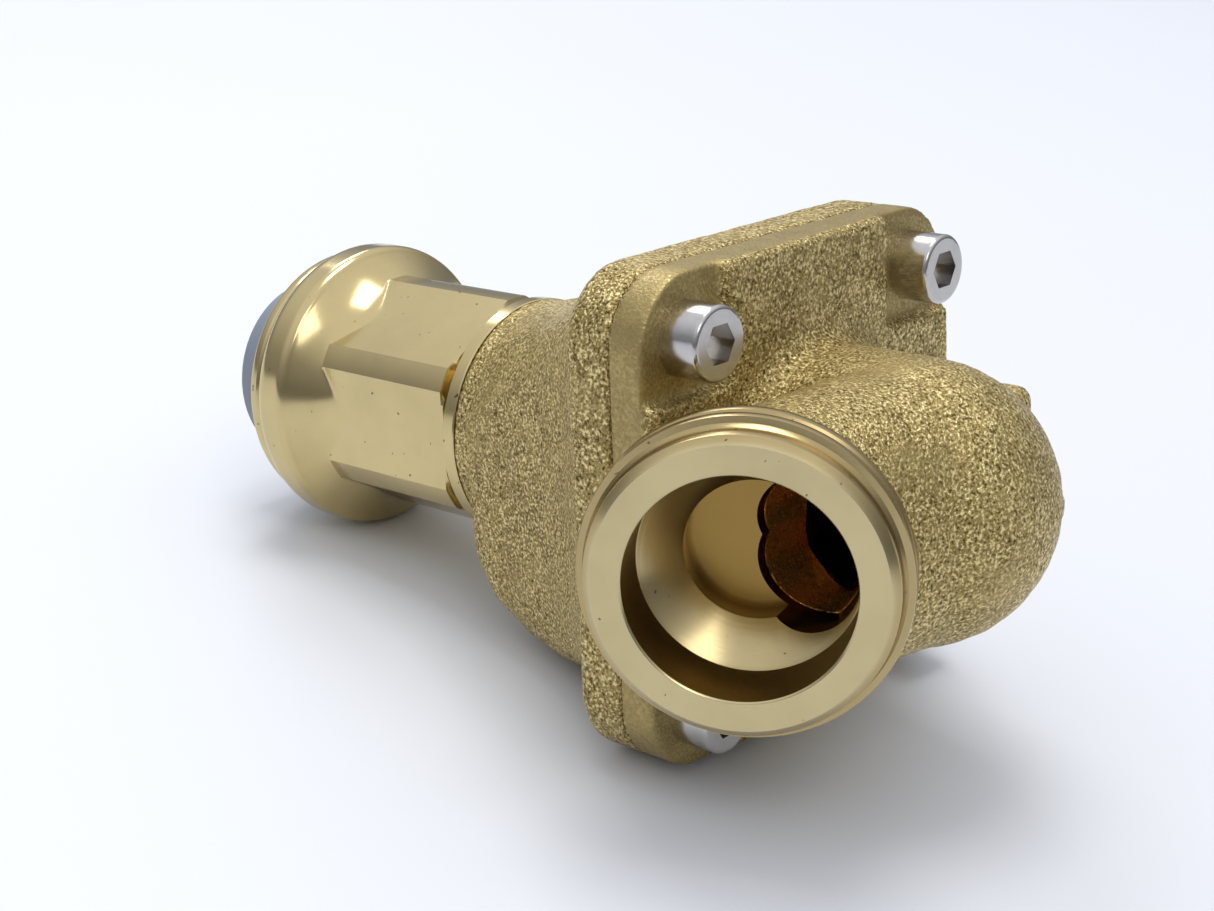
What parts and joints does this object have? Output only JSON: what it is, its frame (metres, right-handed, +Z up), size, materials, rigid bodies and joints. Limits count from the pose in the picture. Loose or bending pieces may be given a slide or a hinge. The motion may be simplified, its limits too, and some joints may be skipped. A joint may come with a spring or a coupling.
{
  "type": "double check backflow preventer",
  "caption": "Angled brass backflow preventer: two-piece casting bolted at a square flange, sprung check valves inside, push-fit pipe inlet, threaded union outlet.",
  "frame": {"origin": "on the main axis at the pipe stop inside the inlet's push-fit socket", "axes": "+X along the main axis, the way the water flows; +Z up, square to one side of the flange; the outlet port points between +X and -Y"},
  "size_m": [0.1432, 0.0829, 0.0682],
  "materials": {
    "cast_brass": "rough sand casting, machined at the joint face, neck and port",
    "turned_brass": "turned, bright",
    "screw_steel": "bright zinc plate",
    "grey_plastic": "smooth moulded",
    "white_plastic": "smooth moulded",
    "black_plastic": "moulded",
    "blue_plastic": "moulded",
    "black_rubber": "matte",
    "spring_steel": "bright stainless"
  },
  "bodies": {
    "valve": {"inlet_body": "cast_brass", "outlet_body": "cast_brass", "inlet_connector": "turned_brass", "collar_retainer": "turned_brass", "flange_screws": "screw_steel", "grab_ring_spacer": "white_plastic", "module_spacer": "white_plastic", "first_housing": "black_plastic", "second_housing": "black_plastic", "first_guide": "black_plastic", "second_guide": "black_plastic", "tube_o_ring": "black_rubber", "connector_o_ring": "black_rubber", "flange_o_ring": "black_rubber", "first_housing_o_ring": "black_rubber", "second_housing_o_ring": "black_rubber", "grab_ring": "spring_steel", "first_spring": "spring_steel", "second_spring": "spring_steel", "first_retaining_ring": "spring_steel", "second_retaining_ring": "spring_steel"},
    "first_poppet": {"first_poppet": "blue_plastic", "first_poppet_seal": "black_rubber"},
    "second_poppet": {"second_poppet": "blue_plastic", "second_poppet_seal": "black_rubber"},
    "release_collar": {"release_collar": "grey_plastic"}
  },
  "joints": [
    {"name": "first_poppet_slide", "type": "slide", "parent": "valve", "child": "first_poppet", "axis": [1, 0, 0], "range_m": [0, 0.004], "stiffness_N_per_m": 150, "springref_m": -0.004, "deforming": ["first_spring"]},
    {"name": "second_poppet_slide", "type": "slide", "parent": "valve", "child": "second_poppet", "axis": [1, 0, 0], "range_m": [0, 0.004], "stiffness_N_per_m": 150, "springref_m": -0.004, "deforming": ["second_spring"]},
    {"name": "release_collar_slide", "type": "slide", "parent": "valve", "child": "release_collar", "axis": [1, 0, 0], "range_m": [0, 0.0015], "stiffness_N_per_m": 500, "springref_m": -0.0005}
  ]
}
